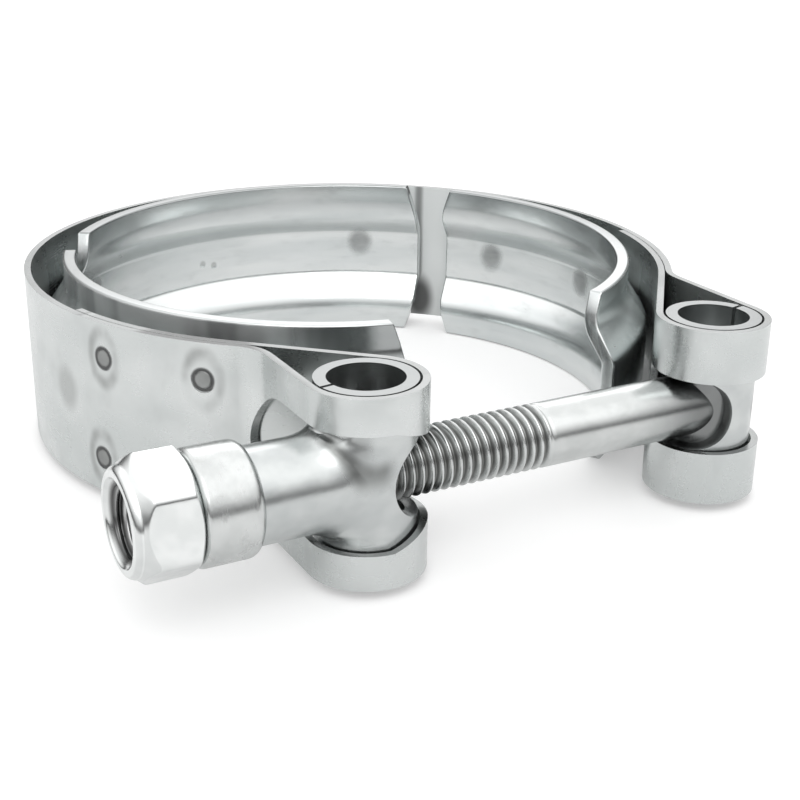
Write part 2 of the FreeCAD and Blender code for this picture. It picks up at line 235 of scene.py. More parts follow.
def thread_wave(x, angle):
    """Depth share of a right-hand thread, 0 on the crest and 1 in the root.

    The phase is x / pitch - angle / turn. Its distance to the crest, clipped to the flank, gives a
    straight rise t, and the wave is three parts of t and one part of 3t^2 - 2t^3.
    """
    phase = x / PITCH - angle / TURN
    away = 2 * np.abs(phase - np.round(phase))
    slope = np.clip((away - CREST_SHARE) / (ROOT_SHARE - CREST_SHARE), 0.0, 1.0)
    return 0.25 * slope * slope * (3 - 2 * slope) + 0.75 * slope


def polyline(corners, steps):
    """Points along straight runs, each cut into its number of steps, the last corner left out."""
    runs = [
        np.linspace(here, after, step, endpoint=False)
        for here, after, step in zip(corners, corners[1:], steps)
    ]
    return np.concatenate(runs)


def rounded_outline(corners, radii, steps):
    """Closed outline whose corners are arcs: each leaves its edge at radius * tan(turn / 2)."""
    corners = np.asarray(corners, float)
    points = []
    for i, corner in enumerate(corners):
        before = corners[i - 1] - corner
        after = corners[(i + 1) % len(corners)] - corner
        before /= np.linalg.norm(before)
        after /= np.linalg.norm(after)
        radius = radii[i]
        half = math.acos(np.clip(before @ after, -1, 1)) / 2
        middle = before + after
        middle /= np.linalg.norm(middle)
        centre = corner + middle * radius / math.sin(half)
        reach = radius / math.tan(half)
        start = corner + before * reach - centre
        end = corner + after * reach - centre
        sweep = math.pi - 2 * half
        t = np.linspace(0, 1, steps)[:, None]
        arc = (np.sin((1 - t) * sweep) * start + np.sin(t * sweep) * end) / math.sin(sweep)
        points.append(centre + arc)
    return np.concatenate(points)


# ---------------------------------------------------------------- pieces

def make_bolt():
    """Shank and thread: radius = 4 - depth * wave(x, angle), faded out towards the plain shank."""
    angle = full_turn(72)
    threaded = np.arange(BOLT_END, THREAD_STOP + 0.5, PITCH / 14)
    plain = np.linspace(THREAD_STOP + 0.6, RIGHT_TUBE_X, 12)
    x = np.concatenate([threaded, plain])[:, None]
    fade = 1 - smooth_step(THREAD_STOP - THREAD_FADE, THREAD_STOP, x)
    radius = BOLT_RADIUS - BOLT_PLAY - THREAD_DEPTH * thread_wave(x, angle) * fade
    radius = np.minimum(radius, BOLT_RADIUS - BOLT_CHAMFER + (x - BOLT_END))
    return surface("bolt_shank", around_axis(x, radius, angle), caps=(0, -1))


def make_bolt_head():
    """Upright pin of the T: a profile of (radius, height) turned about the axis at RIGHT_TUBE_X."""
    core, core_round, edge_round = 0.02, 0.015, 0.6
    profile = rounded_outline(
        [(core, -PIN_HALF), (PIN_RADIUS, -PIN_HALF), (PIN_RADIUS, PIN_HALF), (core, PIN_HALF)],
        [core_round, edge_round, edge_round, core_round], 6)
    r, z = profile[:, 0, None], profile[:, 1, None]
    angle = full_turn(64)
    points = grid(RIGHT_TUBE_X + r * np.cos(angle), AXIS_Y + r * np.sin(angle), z)
    return surface("bolt_head", points, close_rows=True)


def make_barrel_blend():
    """Smooth skin where the barrel grows out of the left tube, seen from where their axes cross.

    Along a direction d the tube lies at a = R / |d xy| and the barrel at b = r / |d yz|. The skin is
    max(a, b) + h^2 / (4 k) * sqrt(1 - n^2) with h = max(k - |a - b|, 0) and n the cosine between both
    surfaces; the lift fades towards the loops and the tube's sides, where the skin lies a little
    under the tube.
    """
    k, top, sink = 4.5, 9.0, 0.03
    fade_start, fade_end, side_fade = 4.8, 7.3, 0.3
    first = math.radians(24.0)
    turn = full_turn(160)
    reach = np.maximum((TUBE_RADIUS * np.sin(turn)) ** 2 - (top * np.cos(turn)) ** 2, 0.0)
    last = np.arctan2(top, np.sqrt(reach))
    away = first + (last - first) * np.linspace(0, 1, 110)[:, None]
    dx = -np.cos(away)
    dy = np.sin(away) * np.cos(turn)
    dz = np.sin(away) * np.sin(turn)
    flat, round_x = np.hypot(dx, dy), np.hypot(dy, dz)
    tube, barrel = TUBE_RADIUS / flat, BARREL_RADIUS / round_x
    near = np.maximum(k - np.abs(tube - barrel), 0.0)
    joined = np.maximum(tube, barrel)
    lift = near ** 2 / (4 * k) * np.sqrt(1 - (dy * dy / (flat * round_x)) ** 2)
    lift = lift * (1 - smooth_step(fade_start, fade_end, np.abs(joined * dz)))
    lift = lift * smooth_step(0.0, side_fade, -dx)
    radius = joined + lift - sink
    points = grid(LEFT_TUBE_X + radius * dx, AXIS_Y + radius * dy, radius * dz)
    return surface("barrel_blend", points)


def make_sleeve():
    """Spacer: closed profile of (x, radius) turned about the bolt's axis."""
    bore_round, front_round, back_round = 0.15, 0.6, 1.3
    profile = rounded_outline(
        [(SLEEVE_FRONT, SLEEVE_BORE), (SLEEVE_FRONT, SLEEVE_RADIUS),
         (SLEEVE_BACK, SLEEVE_RADIUS), (SLEEVE_BACK, SLEEVE_BORE)],
        [bore_round, front_round, back_round, bore_round], 10)
    return surface("spacer_sleeve", turned(profile, full_turn(120)), close_rows=True)


def make_nut():
    """Locking nut: outside radius = soft minimum of the hexagon's and of the turned profile's.

    The hexagon's radius is apothem / cos(angle within its sixth), its corners cut by a soft minimum
    too. The bore follows the bolt's thread at a small gap.
    """
    angle = full_turn(180)
    sixth = TURN / 6
    corner = NUT_APOTHEM / math.cos(sixth / 2)
    hexagon = NUT_APOTHEM / np.cos(np.mod(angle - NUT_TURN, sixth) - sixth / 2)
    hexagon = soft_least(hexagon, corner - CORNER_CUT)
    side = polyline(
        [(NUT_BACK, BACK_RADIUS), (NUT_BACK - 0.25, 6.3), (NUT_BACK - 1.0, TURNED_RADIUS),
         (NUT_NECK, TURNED_RADIUS), (NUT_SHOULDER, 6.2)],
        [6, 16, 10, 16])
    bow = np.linspace(0, math.pi / 2, 12)
    nose = np.stack([
        NUT_SHOULDER - NOSE_LENGTH * np.sin(bow),
        NOSE_RADIUS + NOSE_ROUND * np.cos(bow),
    ], axis=1)
    outline = np.concatenate([side, nose])
    x_out, limit = outline[:, 0, None], outline[:, 1, None]
    outside = np.minimum(soft_least(hexagon, limit), limit)
    mouth = polyline(
        [(NUT_FRONT, 5.2), (NUT_FRONT + 0.05, 4.98), (NUT_FRONT + 0.3, 4.8),
         (NUT_FRONT + 1.0, MOUTH_RADIUS)],
        [3, 4, 8])
    thread_start = NUT_FRONT + 0.75
    x_in = np.arange(thread_start, NUT_BACK - 0.2, PITCH / 16)[:, None]
    depth = THREAD_DEPTH * NUT_THREAD_SHARE
    thread = BOLT_RADIUS + NUT_THREAD_GAP - depth * thread_wave(x_in, angle)
    lead = smooth_step(thread_start, NUT_FRONT + 1.5, x_in)
    bore = thread * lead + np.maximum(thread, MOUTH_RADIUS) * (1 - lead)
    rear = polyline([(NUT_BACK - 0.15, 4.1), (NUT_BACK, 4.25), (NUT_BACK, BACK_RADIUS)], [2, 5])
    points = np.concatenate([
        around_axis(x_out, outside, angle),
        turned(mouth, angle),
        around_axis(x_in, np.minimum(bore, BORE_LIMIT), angle),
        turned(rear, angle),
    ])
    return surface("lock_nut", points, close_rows=True)


def channel_profile(lip_radius):
    """Rounded cross-section of a V channel, as (radius, height).

    The middle line bends at the lip's root and at the web, and each side of the sheet lies half a
    sheet from it.
    """
    half = SHEET / 2
    lip = lip_radius - half
    web = lip + CHANNEL_DEPTH
    root = HALF_HEIGHT - LIP_HEIGHT
    upper = [(lip, HALF_HEIGHT), (lip, root), (web, WEB_HALF)]
    line = np.array(upper + [(radius, -height) for radius, height in reversed(upper)])
    run = np.diff(line, axis=0)
    run /= np.linalg.norm(run, axis=1)[:, None]
    normal = np.stack([-run[:, 1], run[:, 0]], axis=1)
    bisector = normal[:-1] + normal[1:]
    bisector /= (bisector * normal[1:]).sum(axis=1)[:, None]
    offset = np.concatenate([normal[:1], bisector, normal[-1:]]) * half
    corners = np.concatenate([line + offset, (line - offset)[::-1]])
    bend = np.array([ROOT_BEND, WEB_BEND, WEB_BEND, ROOT_BEND])
    side = np.sign(run[:-1, 0] * run[1:, 1] - run[:-1, 1] * run[1:, 0]) * half
    edge = [EDGE_ROUND]
    radii = np.concatenate([edge, bend - side, edge, edge, (bend + side)[::-1], edge])
    return rounded_outline(corners, radii, 12)


def fill_rims(work):
    """Closes the open rims of a tube-like mesh."""
    rims = [edge for edge in work.edges if edge.is_boundary]
    bmesh.ops.holes_fill(work, edges=rims, sides=0)
    bmesh.ops.triangulate(work, faces=[face for face in work.faces if len(face.verts) > 4])


def make_retainer(name):
    """V channel turned about the ring's axis, its lips cut back at both ends.

    A point of the cross-section at height z starts at azimuth first + trim(z) / radius, where trim
    grows as share^1.6 from 0 inside the lip's root to its full value on the rim; near each end the
    section shrinks towards its middle by round * (1 - sin t) at a distance of round * (1 - cos t).
    """
    centre, first, arc, lip_radius, low_first = RETAINERS[name]
    profile = channel_profile(lip_radius)
    height = profile[:, 1]
    share = np.clip((np.abs(height) - TRIM_START) / (HALF_HEIGHT - TRIM_START), 0, None)
    share = share ** TRIM_POWER
    start = math.radians(first) + share * np.where(height > 0, LIP_TRIM, low_first) / lip_radius
    end = math.radians(first + arc) - share * LIP_TRIM / lip_radius
    bite = np.linspace(0, math.pi / 2, 5)
    distance = END_ROUND * (1 - np.cos(bite)) / lip_radius
    shrink = END_ROUND * (1 - np.sin(bite))
    after = np.roll(profile, -1, axis=0)
    tangent = after - np.roll(profile, 1, axis=0)
    tangent /= np.linalg.norm(tangent, axis=1)[:, None]
    inward = np.stack([-tangent[:, 1], tangent[:, 0]], axis=1)
    inward *= np.sign(np.sum(profile[:, 0] * after[:, 1] - after[:, 0] * profile[:, 1]))
    low = start + distance[-1]
    high = end - distance[-1]
    along = np.linspace(0, 1, 150)[1:-1, None]
    azimuth = np.concatenate([
        start + distance[:, None],
        low + (high - low) * along,
        end - distance[::-1, None],
    ])
    inset = np.concatenate([shrink, np.zeros(len(along)), shrink[::-1]])
    section = profile[None] + inset[:, None, None] * inward[None]
    points = grid(
        centre[0] + section[..., 0] * np.cos(azimuth),
        centre[1] + section[..., 0] * np.sin(azimuth),
        section[..., 1])
    piece = surface(name + "_channel", points)
    rework(piece.data, fill_rims)
    return piece


def join_flats(work):
    """Merges a CAD mesh's points and joins the triangles of each flat region."""
    bmesh.ops.remove_doubles(work, verts=work.verts, dist=MERGE_DISTANCE)
    bmesh.ops.dissolve_limit(work, angle_limit=FLAT_ANGLE, verts=work.verts, edges=work.edges)


def softened(node, width):
    """Copy of a CAD node with rounded edges."""
    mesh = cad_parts[node].data.copy()
    mesh.name = node + "_rounded"
    rework(mesh, join_flats)
    if "custom_normal" in mesh.attributes:
        mesh.attributes.remove(mesh.attributes["custom_normal"])
    piece = add_object(mesh.name, mesh)
    mesh.shade_smooth()
    mesh.set_sharp_from_angle(angle=ROUNDED_ANGLE)
    bevel = piece.modifiers.new("edges", "BEVEL")
    bevel.width = width * MM
    bevel.segments = 2
    bevel.limit_method = "ANGLE"
    bevel.angle_limit = ROUNDED_ANGLE
    bevel.harden_normals = True
    bevel.use_clamp_overlap = True
    return piece


# ---------------------------------------------------------------- shader maths

class Value:
    """A number that varies over a surface; arithmetic on it adds Math nodes."""

    def __init__(self, finish, socket):
        self.finish = finish
        self.socket = socket

    def math(self, operation, *others):
        return self.finish.math(operation, self, *others)

    def __add__(self, other):
        return self.math("ADD", other)

    __radd__ = __add__

    def __mul__(self, other):
        return self.math("MULTIPLY", other)

    __rmul__ = __mul__

    def __sub__(self, other):
        return self.math("SUBTRACT", other)

    def __rsub__(self, other):
        return self.finish.math("SUBTRACT", other, self)

    def __truediv__(self, other):
        return self.math("DIVIDE", other)

    def __pow__(self, other):
        return self.math("POWER", other)

    def above(self, low, high):
        """0 below low, 1 above high, smooth between."""
        return self.finish.add("ShaderNodeMapRange", {"interpolation_type": "SMOOTHSTEP"},
                               {"Value": self, "From Min": low, "From Max": high})

    def below(self, low, high):
        """1 below low, 0 above high, smooth between."""
        return 1 - self.above(low, high)

    def between(self, low, rise, fall, high):
        """0 outside low and high, 1 from rise to fall."""
        return self.above(low, rise) * self.below(fall, high)


class Finish:
    """A node material under construction around one Principled shader."""

    def __init__(self, name, **fixed):
        self.material = bpy.data.materials.new(name)
        self.material.use_nodes = True
        self.tree = self.material.node_tree
        self.inputs = self.tree.nodes["Principled BSDF"].inputs
        for socket, value in fixed.items():
            self.inputs[socket.replace("_", " ")].default_value = value
        self.place = self.coordinates("Object")

    def add(self, kind, settings, sockets, output=0):
        """New node: its settings first, then the values or links of its sockets."""
        node = self.tree.nodes.new(kind)
        for key, value in settings.items():
            if key == "stops":
                ramp = node.color_ramp
                while len(ramp.elements) < len(value):
                    ramp.elements.new(1.0)
                for element, (position, colour) in zip(ramp.elements, value):
                    element.position = position
                    element.color = (*colour, 1.0)
            else:
                setattr(node, key, value)
        for key, value in sockets.items():
            self.join(value, node.inputs[key])
        return Value(self, node.outputs[output])

    def join(self, value, socket):
        """Links a value to a socket, or sets a number or vector on it."""
        if isinstance(value, Value):
            self.tree.links.new(value.socket, socket)
        else:
            socket.default_value = value

    def math(self, operation, *terms):
        return self.add("ShaderNodeMath", {"operation": operation}, dict(enumerate(terms)))

    def vector(self, operation, *terms, output=0):
        sockets = dict(enumerate(terms))
        return self.add("ShaderNodeVectorMath", {"operation": operation}, sockets, output)

    def coordinates(self, kind):
        """The surface's place in its object, in metres, or its normal."""
        return self.add("ShaderNodeTexCoord", {}, {}, kind)

    def split(self, vector, axis):
        """One number of a vector."""
        return self.add("ShaderNodeSeparateXYZ", {}, {0: vector}, axis)

    def part(self, axis):
        """One coordinate of the place, in millimetres."""
        return self.split(self.place, axis) * METRE

    def leaning(self, axis):
        """How far the normal leans to an axis, either way: 0 for not at all, 1 for along it."""
        return self.split(self.coordinates("Normal"), axis).math("ABSOLUTE")

    def mix(self, mask, first, second):
        """Colour between two, by a mask of 0 to 1."""
        pair = [
            colour if isinstance(colour, Value) else (*colour, 1.0)
            for colour in (first, second)
        ]
        return self.add("ShaderNodeMix", {"data_type": "RGBA"}, {0: mask, 6: pair[0], 7: pair[1]}, 2)

    def layers(self, tint, *coats):
        """Colour under coats laid on in turn, each a mask and a colour."""
        for mask, colour in coats:
            tint = self.mix(mask, tint, colour)
        return tint

    def distance(self, point, stretch):
        """Millimetres from a point of the object, each axis times its stretch."""
        away = self.vector("SUBTRACT", self.place, tuple(MM * part for part in point))
        away = self.vector("MULTIPLY", away, tuple(METRE * part for part in stretch))
        return self.vector("LENGTH", away, output="Value")

    def from_bolt_axis(self):
        """Millimetres from the bolt's axis."""
        y, z = self.part("Y") - AXIS_Y, self.part("Z")
        return (y * y + z * z) ** 0.5

    def around_ring(self, centre):
        """Cylinder coordinates about the ring: (azimuth * radius, distance, height) in millimetres.

        The azimuth wraps at minus 90 degrees, where the clamp is open.
        """
        x = self.part("X") - centre[0]
        y = self.part("Y") - centre[1]
        angle = (0 - x).math("ARCTAN2", y) + math.pi / 2
        sockets = {"X": angle * RING_RADIUS, "Y": (x * x + y * y) ** 0.5, "Z": self.part("Z")}
        return self.add("ShaderNodeCombineXYZ", {}, sockets)

    def facing_in(self, centre):
        """1 where the surface faces the upright line through the centre, 0 where it faces away."""
        out = self.vector("SUBTRACT", self.place, (MM * centre[0], MM * centre[1], 0.0))
        out = self.vector("NORMALIZE", self.vector("MULTIPLY", out, ACROSS))
        facing = self.vector("DOT_PRODUCT", out, self.coordinates("Normal"), output="Value")
        return facing.below(-0.2, 0.2)

    def noise(self, stretch, detail, ring=None, distortion=0.0):
        """Fractal noise around 0.5 over millimetres, or over ring coordinates, times a stretch."""
        if ring is None:
            vector = self.vector("MULTIPLY", self.place, tuple(METRE * part for part in stretch))
        else:
            vector = self.vector("MULTIPLY", ring, stretch)
        return self.add("ShaderNodeTexNoise", {}, {
            "Vector": vector,
            "Scale": 1.0,
            "Detail": detail,
            "Roughness": 0.55,
            "Distortion": distortion,
        })

    def weld_rings(self, points, ring):
        """Masks of pressed welds: the groove, the disc inside it and the stain round it."""
        groove, disc, stain = 0.0, 0.0, 0.0
        for point in points:
            away = self.distance(point, EVEN)
            groove = away.between(ring - 0.4, ring - 0.1, ring + 0.05, ring + 0.4) + groove
            disc = away.below(ring - 0.35, ring) + disc
            wide = self.distance(point, (1.0, 1.0, 0.68))
            stain = wide.between(ring, ring * 1.7, ring * 1.8, ring * 2.5) + stain
        return groove, disc, stain

    def soft_spots(self, points, reach, stretch):
        """Mask of soft spots, each axis times its stretch."""
        spots = 0.0
        for point in points:
            spots = self.distance(point, stretch).below(reach * 0.45, reach * 1.25) + spots
        return spots

    def finish(self, colour, roughness, height, depth):
        """Feeds the shader; the height is in millimetres times depth."""
        sockets = {"Height": height, "Strength": 1.0, "Distance": depth * MM}
        bump = self.add("ShaderNodeBump", {}, sockets)
        self.join(colour, self.inputs["Base Color"])
        self.join(roughness, self.inputs["Roughness"])
        self.join(bump, self.inputs["Normal"])
        return self.material


# ---------------------------------------------------------------- finishes

# Limits of places and distances are in millimetres, limits of noise and masks between 0 and 1.

def strap_steel():
    """Rolled strip: faint grain along it, cloudy sheen, welds pressed in; painted shade inside the
    ring, at the slots and on the rims, painted light in the seam's gap.
    """
    steel = Finish("strap_steel", Metallic=1.0)
    x, y, level = steel.part("X"), steel.part("Y"), steel.part("Z").math("ABSOLUTE")
    ring = steel.around_ring((-2.7, 1.2))
    grain = steel.noise((0.12, 2.0, 4.0), 3.0, ring)
    clouds = steel.noise((0.05, 0.09, 0.09), 2.0, ring)
    smears = steel.noise((0.18, 0.35, 0.14), 3.0, ring)
    groove, disc, stain = steel.weld_rings(RING_WELDS, WELD_RADIUS)
    ovals = steel.soft_spots(OVAL_WELDS, 1.7, (1.0, 1.0, 0.5))
    ovals = ovals + steel.soft_spots(PRESS_MARKS, 1.7, (1.0, 0.6, 0.5))
    crease = (steel.split(ring, "X") - CREASE_ARC).math("ABSOLUTE").below(0.1, 0.9)
    crease = crease * x.below(-40.0, -38.0)
    facing = steel.facing_in((-1.5, 0.0))
    inside = facing * y.above(-37.0, -32.0)
    # Painted shade on the walls at the slots' ends.
    slot_shade = facing.above(0.2, 0.45) * level.below(12.3, 12.5) * y.below(-22.0, -20.0)
    slot_shade = slot_shade * x.below(-29.0, -27.5)
    # Painted light: the strap seen in the seam's gap turns pale, rougher and less metallic.
    gap = inside * steel.distance(SEAM_LIGHT_PATCH, ACROSS).below(5.0, 7.5)
    # Painted shadow on the strap beside the rear retainer's end, and in the corner below it.
    edge = steel.distance(SEAM_SHADOW_LINE, ACROSS).below(0.2, 1.1) * 0.6
    edge = edge.math("MAXIMUM", steel.soft_spots(SEAM_SHADOW_CORNERS, 2.6, (1.0, 1.0, 0.6)) * 0.85)
    tint = steel.layers(
        steel.mix(clouds.above(*CLOUDY), (0.575, 0.60, 0.595), (0.665, 0.685, 0.68)),
        (smears.above(0.5, 0.8) * 0.35, (0.48, 0.50, 0.495)),
        (stain * smears.above(0.3, 0.7) * 0.75, (0.34, 0.35, 0.345)),
        (ovals * 0.6, (0.33, 0.34, 0.335)),
        (disc * (0.5 + smears * 0.7), (0.25, 0.255, 0.25)),
        (groove * 0.92, (0.055, 0.055, 0.055)),
        # Painted shade on the strap's inner faces towards the ring's sides.
        (inside * x.math("ABSOLUTE").above(12.0, 30.0) * 0.22, (0.20, 0.215, 0.215)),
        # Painted light on the strap in the seam's gap.
        (gap * 0.9, (0.82, 0.84, 0.835)),
        # Painted shadow beside the rear retainer's end.
        (inside * edge, (0.08, 0.08, 0.08)),
        (slot_shade * 0.8, (0.06, 0.06, 0.06)),
        # Painted shade on faces turned up or down below the strap's edges, the rims in the loops'
        # slots.
        (steel.leaning("Z").above(0.6, 0.85) * level.below(12.0, 12.4) * 0.6, (0.12, 0.12, 0.12)),
        # Painted shade on the strap's top and bottom edges, keeping them grey instead of white.
        (level.above(12.55, 12.65) * 0.93, (0.27, 0.28, 0.28)),
    )
    roughness = 0.24 + grain * 0.05 + smears.above(0.4, 0.8) * 0.08
    roughness = roughness + stain * 0.08 + disc * 0.15 + gap * 0.35
    # Painted light: less metal on the strap in the seam's gap, except on its painted shadow.
    steel.join(1 - gap * (1 - edge) * 0.5, steel.inputs["Metallic"])
    height = clouds * 0.8 - groove * 0.9 + disc * smears * 0.5 - ovals * 0.6 + crease * 0.35
    return steel.finish(tint, roughness, height, 0.12)


def retainer_steel():
    """Pressed channel: satin, draw lines round the ring, weld marks inside; painted shade outside, on
    the upper lip, in the fold and on the rims.
    """
    steel = Finish("retainer_steel", Metallic=1.0)
    x, y, z = steel.part("X"), steel.part("Y"), steel.part("Z")
    ring = steel.around_ring((0.0, 0.0))
    grain = steel.noise((0.05, 0.8, 2.2), 3.0, ring)
    clouds = steel.noise((0.035, 0.25, 0.22), 2.0, ring)
    smears = steel.noise((0.22, 0.5, 0.7), 3.0, ring)
    bands = steel.noise((0.13, 0.02, 0.02), 2.0, ring).above(0.5, 0.62)
    spots = steel.soft_spots(WEB_SPOTS, 2.2, (1.0, 1.0, 0.9))
    dots = steel.soft_spots(WEB_DOTS, 0.6, EVEN)
    outside = (1 - steel.facing_in((-1.0, 0.4))) * z.math("ABSOLUTE").below(12.45, 12.6)
    inside = 1 - outside
    # Painted shade on the inside of the upper lip.
    lip = z.above(7.2, 9.5) * inside
    # Painted shade in the bend between the upper slope and the web.
    fold_shade = z.between(3.0, 4.6, 4.9, 6.8) * inside
    shade = x.below(-40.0, -8.0) * y.above(8.0, 20.0) * inside
    # Painted shade on the lip rims at the back and right.
    rim = z.math("ABSOLUTE").above(12.45, 12.6) * y.above(-30.0, 5.0)
    # Painted shade on the outside towards the front, and painted light on the outside at the left as
    # less metal.
    dim = outside * x.between(-25.0, -17.0, 0.0, 8.0) * y.below(0.0, 8.0)
    pale = outside * x.below(-25.0, -17.0) * y.below(5.0, 15.0)
    tint = steel.layers(
        steel.mix(clouds.above(0.3, 0.7), (0.66, 0.69, 0.69), (0.78, 0.80, 0.795)),
        (smears.above(0.5, 0.8) * 0.25, (0.50, 0.52, 0.52)),
        (lip * 0.5, (0.38, 0.40, 0.40)),
        (fold_shade * 0.4, (0.30, 0.32, 0.32)),
        (spots * (0.35 + smears * 0.6), (0.22, 0.225, 0.225)),
        (dots * 0.45, (0.24, 0.24, 0.24)),
        # Painted shade on the outside, patchy in bands along the ring and stronger towards the left.
        (outside * bands * 0.5, (0.20, 0.21, 0.21)),
        (shade * 0.5, (0.30, 0.31, 0.31)),
        (outside * x.below(0.0, 10.0) * 0.2, (0.15, 0.16, 0.16)),
        (rim * 0.85, (0.27, 0.28, 0.28)),
        (dim * 0.6, (0.20, 0.21, 0.21)),
    )
    roughness = 0.17 + grain * 0.06 + smears.above(0.45, 0.8) * 0.08 + spots * 0.12
    steel.join(1 - pale * 0.35, steel.inputs["Metallic"])
    height = clouds * 0.3 - spots * 0.25 - dots * 0.3
    return steel.finish(tint, roughness, height, 0.12)


def trunnion_steel():
    """Drawn tube, marked by heat where the barrel grows out of it, with painted shade along that
    joint, inside its bores and on its ends.
    """
    steel = Finish("trunnion_steel", Metallic=1.0)
    x, y, z = steel.part("X"), steel.part("Y"), steel.part("Z")
    fine = steel.noise((0.5, 2.0, 2.0), 4.0)
    clouds = steel.noise((0.16, 0.2, 0.2), 3.0)
    from_bolt = steel.from_bolt_axis()
    left = steel.distance((LEFT_TUBE_X, AXIS_Y, 0.0), ACROSS)
    right = steel.distance((RIGHT_TUBE_X, AXIS_Y, 0.0), ACROSS)
    # Painted shade along the crease where the barrel meets the tube, on its upper front side.
    joint_shade = (left - TUBE_RADIUS).math("MAXIMUM", from_bolt - BARREL_RADIUS).below(0.85, 1.7)
    joint_shade = joint_shade * z.above(-0.5, 3.0) * y.below(-50.0, -48.0) * x.below(-22.0, -20.0)
    heat_and_shade = steel.soft_spots(HEAT_MARKS, 1.9, (1.0, 1.0, 0.6)) * 0.35
    # The heat mark and the painted shade along the joint, together.
    heat_and_shade = (heat_and_shade.math("MAXIMUM", joint_shade) * (0.35 + clouds)).math("MINIMUM", 0.85)
    # Painted shade inside the tubes and the barrel's bore.
    inside = left.math("MINIMUM", right).below(5.4, 5.95) * from_bolt.below(7.0, 9.5)
    bore = inside.math("MAXIMUM", from_bolt.below(4.7, 5.2))
    tint = steel.layers(
        steel.mix(clouds.above(*CLOUDY), (0.50, 0.52, 0.52), (0.60, 0.62, 0.615)),
        (heat_and_shade, (0.16, 0.165, 0.16)),
        (bore * 0.75, (0.10, 0.10, 0.10)),
        # Painted shade on the tubes' end faces.
        (z.math("ABSOLUTE").above(11.45, 11.55) * 0.95, (0.29, 0.30, 0.30)),
    )
    roughness = 0.23 + fine * 0.06 + heat_and_shade * 0.12
    return steel.finish(tint, roughness, clouds * 0.5, 0.12)


def bolt_steel():
    """Bright turned shank, with painted shade in the thread's roots and towards the head."""
    steel = Finish("bolt_steel", Metallic=1.0)
    x = steel.part("X")
    fine = steel.noise((4.0, 0.5, 0.5), 4.0)
    clouds = steel.noise((0.18, 0.3, 0.3), 3.0)
    # Painted shade in the thread's roots.
    root = steel.from_bolt_axis().below(3.3, 3.9) * x.below(2.0, 3.0)
    tint = steel.layers(
        steel.mix(clouds.above(*CLOUDY), (0.55, 0.565, 0.56), (0.66, 0.675, 0.67)),
        (root * 0.85, (0.13, 0.13, 0.125)),
        # Painted shade on the shank and head inside the right tube.
        (x.above(14.0, 25.0) * 0.8, (0.13, 0.135, 0.135)),
    )
    roughness = 0.21 + fine * 0.08 + root * 0.08
    return steel.finish(tint, roughness, fine * 0.05 + clouds * 0.25, 0.1)


def sleeve_steel():
    """Turned spacer with faint rings round its axis."""
    steel = Finish("sleeve_steel", Metallic=1.0)
    rings = steel.noise((5.0, 0.2, 0.2), 3.0)
    clouds = steel.noise((0.25, 0.25, 0.25), 3.0)
    smears = steel.noise((0.9, 0.5, 0.5), 4.0, distortion=0.5)
    tint = steel.layers(
        steel.mix(clouds.above(*CLOUDY), (0.55, 0.565, 0.56), (0.65, 0.665, 0.66)),
        (smears.above(0.55, 0.8) * 0.4, (0.42, 0.42, 0.41)),
    )
    roughness = 0.20 + rings * 0.1 + smears.above(0.5, 0.8) * 0.1
    return steel.finish(tint, roughness, rings * 0.08 + clouds * 0.4, 0.1)


def nut_steel():
    """Bright plated nut, with painted shade on its sloped faces, in its hole and in the thread's
    roots.
    """
    steel = Finish("nut_steel", Metallic=1.0)
    fine = steel.noise((0.9, 0.9, 0.9), 4.0)
    clouds = steel.noise((0.3, 0.3, 0.3), 2.0)
    depth = steel.from_bolt_axis()
    # Painted shade in the hole, darkest in the thread's roots.
    hole_shade = depth.below(4.2, 4.7)
    root = depth.above(3.5, 4.0) * hole_shade
    tint = steel.layers(
        steel.mix(clouds.above(*CLOUDY), (0.74, 0.76, 0.755), (0.83, 0.845, 0.84)),
        # Painted shade on the sloped faces of the chamfer and nose.
        (steel.leaning("X").between(0.15, 0.35, 0.8, 0.93) * 0.25, (0.40, 0.41, 0.41)),
        (hole_shade * 0.45, (0.34, 0.34, 0.335)),
        (root * 0.85, (0.04, 0.04, 0.04)),
    )
    roughness = 0.15 + fine * 0.09 + hole_shade * 0.1
    return steel.finish(tint, roughness, clouds * 0.5 + fine * 0.05, 0.1)


# ---------------------------------------------------------------- assembly

finishes = {
    "strap_steel": strap_steel(),
    "retainer_steel": retainer_steel(),
    "trunnion_steel": trunnion_steel(),
    "bolt_steel": bolt_steel(),
    "sleeve_steel": sleeve_steel(),
    "nut_steel": nut_steel(),
}


def paint(piece, slot):
    """Gives a piece one finish."""
    piece.data.materials.clear()
    piece.data.materials.append(finishes[slot])


def dress(piece, body, slot, *nodes):
    """Gives a piece its finish, its body and the nodes it stands for, painted like it."""
    paint(piece, slot)
    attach(piece, body)
    if nodes:
        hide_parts(*nodes)
    for node in nodes:
        paint(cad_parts[node], slot)


dress(softened("band", 0.2), "clamp", "strap_steel", "band")
for retainer in RETAINERS:
    dress(make_retainer(retainer), "clamp", "retainer_steel", retainer)
dress(softened("left_trunnion", 0.12), "clamp", "trunnion_steel", "left_trunnion")
dress(make_barrel_blend(), "clamp", "trunnion_steel")
dress(softened("right_trunnion", 0.12), "clamp", "trunnion_steel", "right_trunnion")
dress(make_bolt(), "clamp", "bolt_steel", "t_bolt")
dress(make_bolt_head(), "clamp", "bolt_steel")
dress(make_sleeve(), "sleeve", "sleeve_steel", "sleeve")
dress(make_nut(), "nut", "nut_steel", "nut")


# ---------------------------------------------------------------- stage, light, camera

BLACK = (0.0, 0.0, 0.0)


